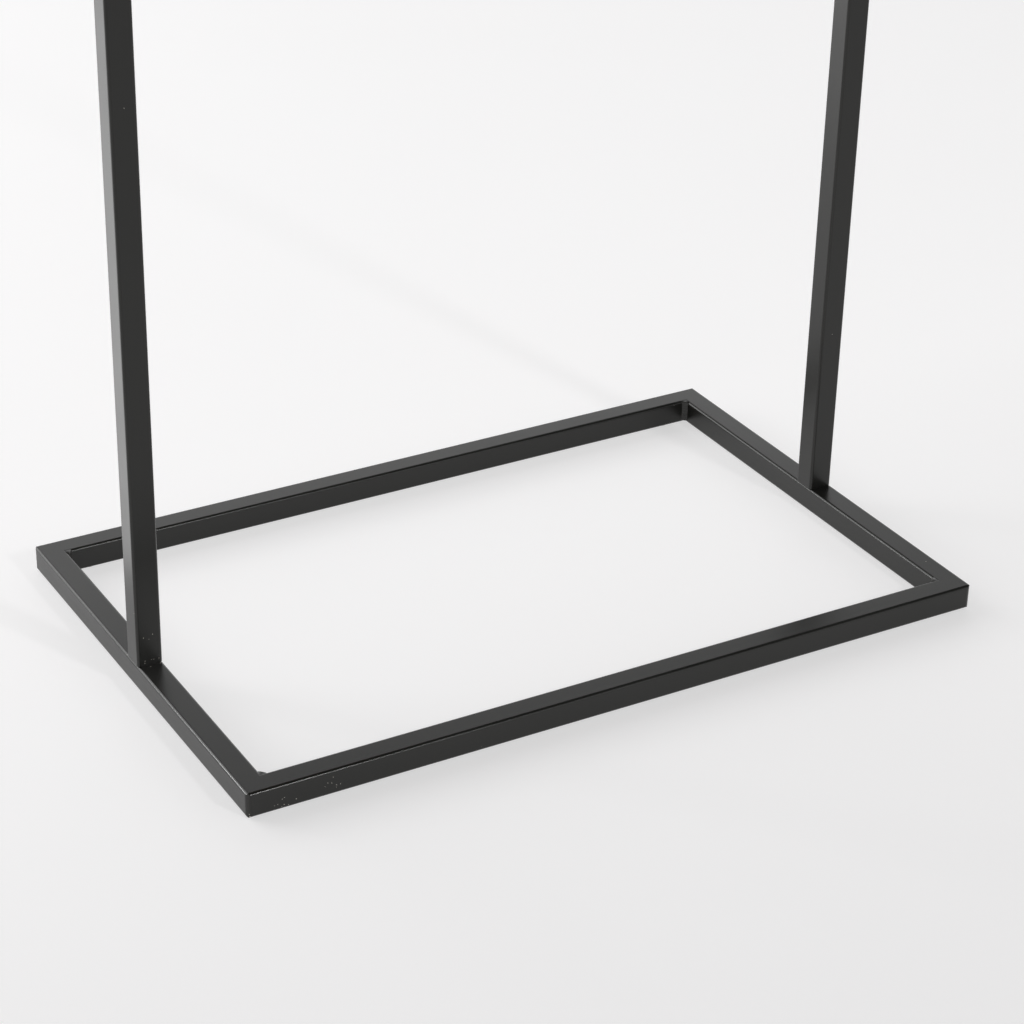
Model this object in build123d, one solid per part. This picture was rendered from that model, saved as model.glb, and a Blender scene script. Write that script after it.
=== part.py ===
from build123d import *
import os

# Valet stand. Millimetres, +Z up, +X to the right, -Y to the front.
# The origin is on the floor, in the middle of the base frame.

# ---- Tube: one square section for the whole frame ----
TUBE = 20.0
TUBE_WALL = 1.5
TUBE_ARRIS = 2.25
TUBE_BORE = TUBE - 2 * TUBE_WALL
TUBE_BORE_ARRIS = TUBE_ARRIS - TUBE_WALL

# ---- Base frame: four mitred rails ----
BASE_LENGTH = 622.0
BASE_DEPTH = 398.0
CORNER_GRIND = 4.2
WELD_LEG = 4.8
WELD_INSET = 0.6
PAD_THICKNESS = 1.0
PAD_RADIUS = 7.0
PAD_INSET = 40.0

# ---- Uprights ----
STAND_TOP = 1100.0
CAP_COVER = 2.0
CAP_PLUG_DEPTH = 12.0
CAP_EDGE = 0.8
SLIP = 0.1
OVERCUT = 1.0

# ---- Bolts and screws ----
THREAD_CLEARANCE = 0.05
FOOT_BOLT_RADIUS = 4.0
FOOT_BOLT_HEAD_RADIUS = 6.5
FOOT_BOLT_HEAD = 5.0
FOOT_BOLT_GRIP = 7.0
FOOT_BOLT_SOCKET = 5.0
FOOT_WASHER_RADIUS = 7.25
FOOT_WASHER = 1.6
FOOT_HOLE_RADIUS = 4.5
FOOT_ACCESS_RADIUS = 7.6
FOOT_PLATE = 8.0
SCREW_RADIUS = 3.0
SCREW_HOLE_RADIUS = 3.25
SCREW_HEAD_RADIUS = 5.25
SCREW_HEAD = 3.3
SCREW_HEAD_EDGE = 2.2
SCREW_SOCKET = 4.0
SOCKET_DEPTH = 2.0
PLATE_CORNER = 1.0

# ---- Top crossbar ----
END_PLATE = 6.0
CROSSBAR_SCREW_GRIP = 5.0
NUT_ACCESS_RADIUS = 8.0

# ---- Trouser bar ----
TROUSER_BAR_RADIUS = 12.5
TROUSER_BAR_HEIGHT = 760.0
TROUSER_BAR_CHAMFER = 1.0
INSERT_RADIUS = 5.0
INSERT_LENGTH = 18.0
INSERT_HOLE_DEPTH = 20.0
TROUSER_SCREW_GRIP = 15.0

# ---- Jacket hanger ----
STEM_RADIUS = 4.0
STEM_TIP = 2.2
STEM_CHAMFER = 0.55
STEM_END_GAP = 1.0
RUNNING_CLEARANCE = 0.05
BUSH_RADIUS = 6.0
BUSH_FLANGE_RADIUS = 8.5
BUSH_FLANGE = 2.0
BUSH_PROUD = 0.5
END_FLOAT = 0.2
STEM_WASHER_RADIUS = 7.5
STEM_WASHER_HOLE = 4.2
STEM_WASHER = 1.6
LOCKNUT_FLATS = 13.0
LOCKNUT = 8.0
YOKE_SPAN = 440.0
YOKE_LAND = 1046.0
YOKE_AXIS = 1030.0
YOKE_DROP = 76.0
YOKE_BEND = 0.28
YOKE_FORWARD = 26.0
YOKE_HALF_DEPTH = 12.0
YOKE_SHOULDER_HALF_DEPTH = 26.0
YOKE_HALF_HEIGHT = 18.0
YOKE_SHOULDER_HALF_HEIGHT = 12.0
YOKE_TAPER_START = 0.84
YOKE_STATIONS = (0.0, 0.2, 0.4, 0.6, 0.75, 0.86, 0.93, 0.97, 0.992)
YOKE_ROUNDING = 0.86
STEM_INSERT_RADIUS = 6.0
STEM_INSERT_LENGTH = 24.0
STEM_INSERT_RECESS = 2.0
ROSETTE_RADIUS = 13.0
ROSETTE = 3.0
ROSETTE_EDGE = 1.2
LAND_CLEARANCE = 1.2

# ---- Tray ----
TRAY_LENGTH = 300.0
TRAY_DEPTH = 120.0
TRAY_HEIGHT = 34.0
TRAY_CORNER = 18.0
TRAY_RIM = 12.0
TRAY_DISH_DEPTH = 14.0
TRAY_DISH_CORNER = 10.0
TRAY_DISH_FILLET = 5.0
TRAY_EDGE = 2.5
GROOVE_DEPTH = 12.0
GROOVE_CLEARANCE = 0.3
LINER = 1.6
LINER_MARGIN = 6.0
LINER_CORNER = 5.0

# ---- Derived places ----
RAIL_BOTTOM = PAD_THICKNESS
RAIL_TOP = RAIL_BOTTOM + TUBE
RAIL_AXIS = RAIL_BOTTOM + TUBE / 2
SIDE_X = BASE_LENGTH / 2 - TUBE / 2
FRONT_Y = BASE_DEPTH / 2 - TUBE / 2
OUTER_X = BASE_LENGTH / 2
CLEAR_SPAN = BASE_LENGTH - 2 * TUBE
UPRIGHT_END = STAND_TOP - CAP_COVER
CROSSBAR_AXIS = STAND_TOP - TUBE / 2
CROSSBAR_BOTTOM = STAND_TOP - TUBE
CROSSBAR_FLOOR = CROSSBAR_BOTTOM + TUBE_WALL
PLATE_SIDE = TUBE_BORE - 2 * SLIP
WASHER_BOTTOM = CROSSBAR_FLOOR + BUSH_PROUD + END_FLOAT
LOCKNUT_BOTTOM = WASHER_BOTTOM + STEM_WASHER
STEM_TOP = LOCKNUT_BOTTOM + LOCKNUT + STEM_TIP
STEM_INSERT_TOP = YOKE_LAND - STEM_INSERT_RECESS
STEM_INSERT_BOTTOM = STEM_INSERT_TOP - STEM_INSERT_LENGTH
STEM_BOTTOM = STEM_INSERT_BOTTOM + STEM_END_GAP
TRAY_BOTTOM = STAND_TOP - GROOVE_DEPTH + SLIP
TRAY_TOP = TRAY_BOTTOM + TRAY_HEIGHT
DISH_FLOOR = TRAY_TOP - TRAY_DISH_DEPTH
SIDES = (-1, 1)
CORNERS = [(x, y) for x in SIDES for y in SIDES]


def extrude_up(sketch, bottom, top):
    """A prism of a flat outline between two heights."""
    return Pos(0, 0, bottom) * extrude(sketch, top - bottom)


def tube(length):
    """Square tube along +Z from the origin."""
    outside = RectangleRounded(TUBE, TUBE, TUBE_ARRIS)
    bore = RectangleRounded(TUBE_BORE, TUBE_BORE, TUBE_BORE_ARRIS)
    return extrude(outside - bore, length)


def tube_along_x(length):
    """Square tube along X, centred on the origin."""
    return Pos(-length / 2, 0, 0) * (Rot(0, 90, 0) * tube(length))


def tube_along_y(length):
    """Square tube along Y, centred on the origin."""
    return Pos(0, length / 2, 0) * (Rot(90, 0, 0) * tube(length))


def hole_along_z(radius, bottom, top):
    """Cutter for a round hole between two heights."""
    return Pos(0, 0, (bottom + top) / 2) * Cylinder(radius, top - bottom)


def ring(outer, inner, bottom, top):
    """A washer or bush wall between two heights."""
    return hole_along_z(outer, bottom, top) - hole_along_z(inner, bottom, top)


def mitred_outline(corners):
    """Plan outline of one rail: its mitres, with the ground outer corners taken off."""
    mitres = make_face(Polyline(*corners, close=True))
    return mitres & RectangleRounded(BASE_LENGTH, BASE_DEPTH, CORNER_GRIND)


def long_rail(side):
    """Front rail (side -1) or rear rail (side 1), cut at 45 degrees at both ends."""
    outer_x, outer_y = BASE_LENGTH / 2, BASE_DEPTH / 2
    corners = [
        (-outer_x, side * outer_y),
        (outer_x, side * outer_y),
        (outer_x - TUBE, side * (outer_y - TUBE)),
        (TUBE - outer_x, side * (outer_y - TUBE)),
    ]
    body = Pos(0, side * FRONT_Y, RAIL_AXIS) * tube_along_x(BASE_LENGTH)
    return body & extrude_up(mitred_outline(corners), RAIL_BOTTOM, RAIL_TOP)


def side_rail(side):
    """Left rail (side -1) or right rail (side 1), drilled for the upright's bolt."""
    outer_x, outer_y = BASE_LENGTH / 2, BASE_DEPTH / 2
    corners = [
        (side * outer_x, -outer_y),
        (side * outer_x, outer_y),
        (side * (outer_x - TUBE), outer_y - TUBE),
        (side * (outer_x - TUBE), TUBE - outer_y),
    ]
    body = Pos(side * SIDE_X, 0, RAIL_AXIS) * tube_along_y(BASE_DEPTH)
    body = body & extrude_up(mitred_outline(corners), RAIL_BOTTOM, RAIL_TOP)
    bolt_hole = hole_along_z(FOOT_HOLE_RADIUS, RAIL_AXIS, RAIL_TOP + OVERCUT)
    access_hole = hole_along_z(FOOT_ACCESS_RADIUS, RAIL_BOTTOM - OVERCUT, RAIL_AXIS)
    return body - Pos(side * SIDE_X, 0, 0) * (bolt_hole + access_hole)


def corner_weld(x_side, y_side):
    """Convex bead that fills one inner corner, almost as tall as the tube."""
    bead = Cylinder(WELD_LEG, TUBE - 2 * WELD_INSET)
    quarter = Box(WELD_LEG, WELD_LEG, TUBE, align=(Align.MIN, Align.MIN, Align.CENTER))
    angle = {(-1, -1): 0, (1, -1): 90, (1, 1): 180, (-1, 1): 270}[(x_side, y_side)]
    corner_x = x_side * (BASE_LENGTH / 2 - TUBE)
    corner_y = y_side * (BASE_DEPTH / 2 - TUBE)
    return Pos(corner_x, corner_y, RAIL_AXIS) * (Rot(0, 0, angle) * (bead & quarter))


def floor_pad(x_side, y_side):
    """Thin adhesive disc under a long rail, near its corner."""
    place = Pos(x_side * (BASE_LENGTH / 2 - PAD_INSET), y_side * FRONT_Y, 0)
    return place * hole_along_z(PAD_RADIUS, 0, PAD_THICKNESS)


def upright(side):
    """Upright on the middle of a side rail, drilled across for both bars' screws."""
    body = Pos(0, 0, RAIL_TOP) * tube(UPRIGHT_END - RAIL_TOP)
    cross_hole = Rot(0, 90, 0) * Cylinder(SCREW_HOLE_RADIUS, 2 * TUBE)
    body = body - Pos(0, 0, TROUSER_BAR_HEIGHT) * cross_hole
    body = body - Pos(0, 0, CROSSBAR_AXIS) * cross_hole
    return Pos(side * SIDE_X, 0, 0) * body


def threaded_plate(thickness, thread_radius):
    """Square plate that is welded into a tube's end, lying on the origin."""
    blank = RectangleRounded(PLATE_SIDE, PLATE_SIDE, PLATE_CORNER)
    return extrude(blank - Circle(thread_radius + THREAD_CLEARANCE), thickness)


def foot_plate(side):
    """Threaded plate in the foot of an upright."""
    return Pos(side * SIDE_X, 0, RAIL_TOP) * threaded_plate(FOOT_PLATE, FOOT_BOLT_RADIUS)


def foot_washer(side):
    """Washer under the top wall of a side rail."""
    top = RAIL_TOP - TUBE_WALL
    return Pos(side * SIDE_X, 0, 0) * ring(FOOT_WASHER_RADIUS, FOOT_HOLE_RADIUS, top - FOOT_WASHER, top)


def foot_bolt(side):
    """Low-head socket bolt, put in from below through the side rail."""
    seat = RAIL_TOP - TUBE_WALL - FOOT_WASHER
    shank = hole_along_z(FOOT_BOLT_RADIUS, seat, RAIL_TOP + FOOT_BOLT_GRIP)
    head = hole_along_z(FOOT_BOLT_HEAD_RADIUS, seat - FOOT_BOLT_HEAD, seat)
    socket = Pos(0, 0, seat - FOOT_BOLT_HEAD) * extrude(
        RegularPolygon(FOOT_BOLT_SOCKET / 2, 6, major_radius=False), SOCKET_DEPTH
    )
    return Pos(side * SIDE_X, 0, 0) * (shank + head - socket)


def top_cap(side):
    """Moulded cap: a cover the size of the tube on a plug that fills its bore."""
    cover = extrude_up(RectangleRounded(TUBE, TUBE, TUBE_ARRIS), UPRIGHT_END, STAND_TOP)
    cover = fillet(cover.faces().sort_by(Axis.Z)[-1].edges(), CAP_EDGE)
    # The plug stops above the crossbar's screw.
    screw_top = CROSSBAR_AXIS + SCREW_HOLE_RADIUS + SLIP
    plug_bottom = max(UPRIGHT_END - CAP_PLUG_DEPTH, screw_top)
    plug = extrude_up(RectangleRounded(PLATE_SIDE, PLATE_SIDE, PLATE_CORNER), plug_bottom, UPRIGHT_END)
    return Pos(side * SIDE_X, 0, 0) * (cover + plug)


def cross_screw(side, height, grip):
    """Button-head screw along X, through an upright and into a bar's end."""
    shank = hole_along_z(SCREW_RADIUS, -TUBE - grip, 0)
    head = hole_along_z(SCREW_HEAD_RADIUS, 0, SCREW_HEAD)
    head = fillet(head.edges().sort_by(Axis.Z)[-1], SCREW_HEAD_EDGE)
    socket = Pos(0, 0, SCREW_HEAD - SOCKET_DEPTH) * extrude(
        RegularPolygon(SCREW_SOCKET / 2, 6, major_radius=False), SOCKET_DEPTH
    )
    screw = shank + head - socket
    return Pos(side * OUTER_X, 0, height) * (Rot(0, side * 90, 0) * screw)


def crossbar():
    """Top tube between the uprights, drilled below for the bush and above for the nut."""
    body = Pos(0, 0, CROSSBAR_AXIS) * tube_along_x(CLEAR_SPAN)
    bush_hole = hole_along_z(BUSH_RADIUS + RUNNING_CLEARANCE, CROSSBAR_BOTTOM - OVERCUT, CROSSBAR_AXIS)
    nut_access = hole_along_z(NUT_ACCESS_RADIUS, CROSSBAR_AXIS, STAND_TOP + OVERCUT)
    return body - bush_hole - nut_access


def crossbar_end_plate(side):
    """Threaded plate flush with one end of the crossbar."""
    plate = Rot(0, -side * 90, 0) * threaded_plate(END_PLATE, SCREW_RADIUS)
    return Pos(side * CLEAR_SPAN / 2, 0, CROSSBAR_AXIS) * plate


def trouser_bar():
    """Round wooden bar, bored at both ends for the threaded inserts."""
    bar = Cylinder(TROUSER_BAR_RADIUS, CLEAR_SPAN)
    bar = chamfer(bar.edges().filter_by(GeomType.CIRCLE), TROUSER_BAR_CHAMFER)
    hole = Cylinder(INSERT_RADIUS + RUNNING_CLEARANCE, 2 * INSERT_HOLE_DEPTH)
    for side in SIDES:
        bar = bar - Pos(0, 0, side * CLEAR_SPAN / 2) * hole
    return Pos(0, 0, TROUSER_BAR_HEIGHT) * (Rot(0, 90, 0) * bar)


def trouser_bar_insert(side):
    """Threaded insert just inside one end of the trouser bar."""
    sleeve = ring(INSERT_RADIUS, SCREW_RADIUS + THREAD_CLEARANCE, 0, INSERT_LENGTH)
    place = Pos(side * (CLEAR_SPAN / 2 - SLIP), 0, TROUSER_BAR_HEIGHT)
    return place * (Rot(0, -side * 90, 0) * sleeve)


def yoke_section(station):
    """Cross-section of the hanger at a fraction of its half span, from -1 to 1."""
    reach = abs(station)
    full_bend = (1 + YOKE_BEND**2) ** 0.5 - YOKE_BEND
    bend = ((reach**2 + YOKE_BEND**2) ** 0.5 - YOKE_BEND) / full_bend
    half_depth = YOKE_HALF_DEPTH + (YOKE_SHOULDER_HALF_DEPTH - YOKE_HALF_DEPTH) * reach**1.5
    half_height = YOKE_HALF_HEIGHT + (YOKE_SHOULDER_HALF_HEIGHT - YOKE_HALF_HEIGHT) * reach
    if reach > YOKE_TAPER_START:
        tip = (reach - YOKE_TAPER_START) / (1 - YOKE_TAPER_START)
        taper = (1 - tip**2) ** 0.5
        half_depth, half_height = half_depth * taper, half_height * taper
    corner = YOKE_ROUNDING * min(half_depth, half_height)
    centre = (station * YOKE_SPAN / 2, -YOKE_FORWARD * reach**2, YOKE_AXIS - YOKE_DROP * bend)
    plane = Plane(origin=centre, x_dir=(0, 1, 0), z_dir=(1, 0, 0))
    return plane * RectangleRounded(2 * half_depth, 2 * half_height, corner)


def hanger_yoke():
    """Wooden shoulders of the hanger, with a flat land and a bore for the stem's insert."""
    stations = sorted({-s for s in YOKE_STATIONS} | set(YOKE_STATIONS))
    body = loft([yoke_section(s) for s in stations])
    land = hole_along_z(ROSETTE_RADIUS + LAND_CLEARANCE, YOKE_LAND, YOKE_LAND + TUBE)
    bore_radius = STEM_INSERT_RADIUS + RUNNING_CLEARANCE
    bore = hole_along_z(bore_radius, STEM_INSERT_BOTTOM, YOKE_LAND + OVERCUT)
    return body - land - bore


def hanger_stem_insert():
    """Threaded insert sunk into the yoke."""
    bore = STEM_RADIUS + THREAD_CLEARANCE
    return ring(STEM_INSERT_RADIUS, bore, STEM_INSERT_BOTTOM + SLIP, STEM_INSERT_TOP)


def hanger_rosette():
    """Turned cover ring on the yoke around the stem."""
    disc = ring(ROSETTE_RADIUS, STEM_RADIUS + THREAD_CLEARANCE, YOKE_LAND, YOKE_LAND + ROSETTE)
    rim = disc.edges().filter_by(GeomType.CIRCLE).sort_by(SortBy.RADIUS)[-2:].sort_by(Axis.Z)[-1]
    return fillet(rim, ROSETTE_EDGE)


def hanger_stem():
    """Steel rod from the yoke's insert up into the crossbar."""
    rod = hole_along_z(STEM_RADIUS, STEM_BOTTOM, STEM_TOP)
    return chamfer(rod.edges().sort_by(Axis.Z)[-1], STEM_CHAMFER)


def hanger_bush():
    """Flanged bush in the crossbar's bottom wall, in which the stem turns."""
    bore = STEM_RADIUS + RUNNING_CLEARANCE
    flange = ring(BUSH_FLANGE_RADIUS, bore, CROSSBAR_BOTTOM - BUSH_FLANGE, CROSSBAR_BOTTOM)
    return flange + ring(BUSH_RADIUS, bore, CROSSBAR_BOTTOM, CROSSBAR_FLOOR + BUSH_PROUD)


def hanger_washer():
    """Washer on top of the bush, inside the crossbar."""
    return ring(STEM_WASHER_RADIUS, STEM_WASHER_HOLE, WASHER_BOTTOM, LOCKNUT_BOTTOM)


def hanger_locknut():
    """Hexagon locknut that carries the hanger on its washer."""
    flats = RegularPolygon(LOCKNUT_FLATS / 2, 6, major_radius=False)
    blank = flats - Circle(STEM_RADIUS + THREAD_CLEARANCE)
    return extrude_up(blank, LOCKNUT_BOTTOM, LOCKNUT_BOTTOM + LOCKNUT)


def tray_body():
    """Milled wooden tray with a dish on top and a groove that drops over the crossbar."""
    block = extrude_up(RectangleRounded(TRAY_LENGTH, TRAY_DEPTH, TRAY_CORNER), TRAY_BOTTOM, TRAY_TOP)
    block = fillet(block.faces().sort_by(Axis.Z)[-1].edges(), TRAY_EDGE)
    block = fillet(block.faces().sort_by(Axis.Z)[0].edges(), TRAY_EDGE)
    dish_length, dish_depth = TRAY_LENGTH - 2 * TRAY_RIM, TRAY_DEPTH - 2 * TRAY_RIM
    dish_outline = RectangleRounded(dish_length, dish_depth, TRAY_DISH_CORNER)
    dish = extrude_up(dish_outline, DISH_FLOOR, TRAY_TOP + OVERCUT)
    dish = fillet(dish.faces().sort_by(Axis.Z)[0].edges(), TRAY_DISH_FILLET)
    groove = Box(2 * TRAY_LENGTH, TUBE + 2 * GROOVE_CLEARANCE, 2 * GROOVE_DEPTH)
    return block - dish - Pos(0, 0, TRAY_BOTTOM) * groove


def tray_liner():
    """Leather pad glued to the floor of the dish."""
    length = TRAY_LENGTH - 2 * (TRAY_RIM + LINER_MARGIN)
    depth = TRAY_DEPTH - 2 * (TRAY_RIM + LINER_MARGIN)
    return extrude_up(RectangleRounded(length, depth, LINER_CORNER), DISH_FLOOR, DISH_FLOOR + LINER)


def group(make, *settings):
    """Separate identical solids that share one node."""
    return Compound(children=[make(*setting) for setting in settings])


PARTS = {
    "base_front_rail": long_rail(-1),
    "base_rear_rail": long_rail(1),
    "base_left_rail": side_rail(-1),
    "base_right_rail": side_rail(1),
    "base_corner_welds": group(corner_weld, *CORNERS),
    "floor_pads": group(floor_pad, *CORNERS),
    "left_upright": upright(-1),
    "right_upright": upright(1),
    "left_foot_plate": foot_plate(-1),
    "right_foot_plate": foot_plate(1),
    "foot_bolts": group(foot_bolt, (-1,), (1,)),
    "foot_washers": group(foot_washer, (-1,), (1,)),
    "left_top_cap": top_cap(-1),
    "right_top_cap": top_cap(1),
    "top_crossbar": crossbar(),
    "crossbar_end_plates": group(crossbar_end_plate, (-1,), (1,)),
    "crossbar_screws": group(
        cross_screw, *[(side, CROSSBAR_AXIS, CROSSBAR_SCREW_GRIP) for side in SIDES]
    ),
    "trouser_bar": trouser_bar(),
    "trouser_bar_inserts": group(trouser_bar_insert, (-1,), (1,)),
    "trouser_bar_screws": group(
        cross_screw, *[(side, TROUSER_BAR_HEIGHT, TROUSER_SCREW_GRIP) for side in SIDES]
    ),
    "hanger_bush": hanger_bush(),
    "hanger_washer": hanger_washer(),
    "hanger_locknut": hanger_locknut(),
    "hanger_stem": hanger_stem(),
    "hanger_stem_insert": hanger_stem_insert(),
    "hanger_rosette": hanger_rosette(),
    "hanger_yoke": hanger_yoke(),
    "tray_body": tray_body(),
    "tray_liner": tray_liner(),
}

os.makedirs("parts", exist_ok=True)
for name, shape in PARTS.items():
    export_step(shape, f"parts/{name}.step")
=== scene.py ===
"""Looks of the valet stand: finishes, detailed pieces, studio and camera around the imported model."""
import logging
import math
from collections.abc import Mapping, Sequence
from dataclasses import dataclass
from enum import Enum
from typing import Any

import bmesh
import bpy
from mathutils import Matrix, Vector


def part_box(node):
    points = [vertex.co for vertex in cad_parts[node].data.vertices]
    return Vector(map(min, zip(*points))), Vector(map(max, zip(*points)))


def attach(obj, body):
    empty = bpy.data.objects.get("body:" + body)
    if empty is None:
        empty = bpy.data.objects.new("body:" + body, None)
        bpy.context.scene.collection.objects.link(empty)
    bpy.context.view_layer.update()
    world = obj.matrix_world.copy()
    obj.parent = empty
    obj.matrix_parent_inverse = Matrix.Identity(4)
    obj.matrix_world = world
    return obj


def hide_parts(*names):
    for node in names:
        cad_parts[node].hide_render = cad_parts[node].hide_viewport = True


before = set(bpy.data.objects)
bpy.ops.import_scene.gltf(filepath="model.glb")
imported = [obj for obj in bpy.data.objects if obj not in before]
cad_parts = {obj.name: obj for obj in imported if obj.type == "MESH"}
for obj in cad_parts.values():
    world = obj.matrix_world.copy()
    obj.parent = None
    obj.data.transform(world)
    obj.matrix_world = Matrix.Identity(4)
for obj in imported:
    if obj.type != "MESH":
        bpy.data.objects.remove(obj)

LOG = logging.getLogger("valet_stand")
MM = 0.001
Colour = tuple[float, float, float, float]
Point = tuple[float, float, float]

BUMP = "ShaderNodeBump"
COORDINATES = "ShaderNodeTexCoord"
MAPPING = "ShaderNodeMapping"
MATH = "ShaderNodeMath"
MIX = "ShaderNodeMix"
NOISE = "ShaderNodeTexNoise"
RANGE = "ShaderNodeMapRange"
VECTOR = "ShaderNodeVectorMath"
XYZ = "ShaderNodeCombineXYZ"


def linear(code: str) -> Colour:
    """Turn an sRGB hex colour into the linear colour that a shader reads.

    Args:
        code: six hex digits, with or without a leading hash.

    Returns:
        Red, green, blue and an alpha of 1.
    """
    digits = code.lstrip("#")
    parts = [int(digits[i : i + 2], 16) / 255 for i in (0, 2, 4)]
    red, green, blue = [p / 12.92 if p <= 0.04045 else ((p + 0.055) / 1.055) ** 2.4 for p in parts]
    return (red, green, blue, 1.0)


def grey(level: float) -> Colour:
    """A neutral linear colour."""
    return (level, level, level, 1.0)


def per_mm(size: float) -> float:
    """Texture scale on metre coordinates for a feature of this size in millimetres."""
    return 1.0 / (size * MM)


def put(
    tree: bpy.types.NodeTree,
    kind: str,
    inputs: Mapping[str | int, Any] | Sequence[Any] = (),
    stops: Sequence[tuple[float, Colour]] = (),
    **settings: Any,
) -> bpy.types.Node:
    """Add a node to a tree, set it up and link it.

    Args:
        tree: the shader or geometry tree.
        kind: the node's type name.
        inputs: what the input sockets get, by name or number, or in order: a value, another node's
            output, or a node, which stands for its first output.
        stops: places and colours of a ramp node.
        settings: the node's own options.

    Returns:
        The new node.
    """
    node = tree.nodes.new(kind)
    for name, value in settings.items():
        setattr(node, name, value)
    wanted = inputs if isinstance(inputs, Mapping) else dict(enumerate(inputs))
    for key, value in wanted.items():
        source = value.outputs[0] if isinstance(value, bpy.types.Node) else value
        if isinstance(source, bpy.types.NodeSocket):
            tree.links.new(source, node.inputs[key])
        else:
            node.inputs[key].default_value = source
    if stops:
        elements = node.color_ramp.elements
        while len(elements) < len(stops):
            elements.new(1.0)
        for element, (place, colour) in zip(elements, stops):
            element.position, element.color = place, colour
    return node


# ---------------------------------------------------------------------------------------------
# Finishes
# ---------------------------------------------------------------------------------------------


@dataclass(frozen=True)
class Finish:
    """A material that is built once and shared.

    Attributes:
        name: the material's name, for what it is and how its surface was made.
    """

    name: str

    def build(self) -> bpy.types.Material:
        """The Blender material, made on first use."""
        found = bpy.data.materials.get(self.name)
        if found is not None:
            return found
        material = bpy.data.materials.new(self.name)
        material.use_nodes = True
        tree = material.node_tree
        tree.nodes.clear()
        shader = put(tree, "ShaderNodeBsdfPrincipled", self.dress(tree))
        put(tree, "ShaderNodeOutputMaterial", {"Surface": shader})
        return material

    def dress(self, tree: bpy.types.NodeTree) -> dict[str, Any]:
        """Wire this finish's patterns.

        Args:
            tree: the material's tree.

        Returns:
            What each of the shader's inputs gets.
        """
        raise NotImplementedError


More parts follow.
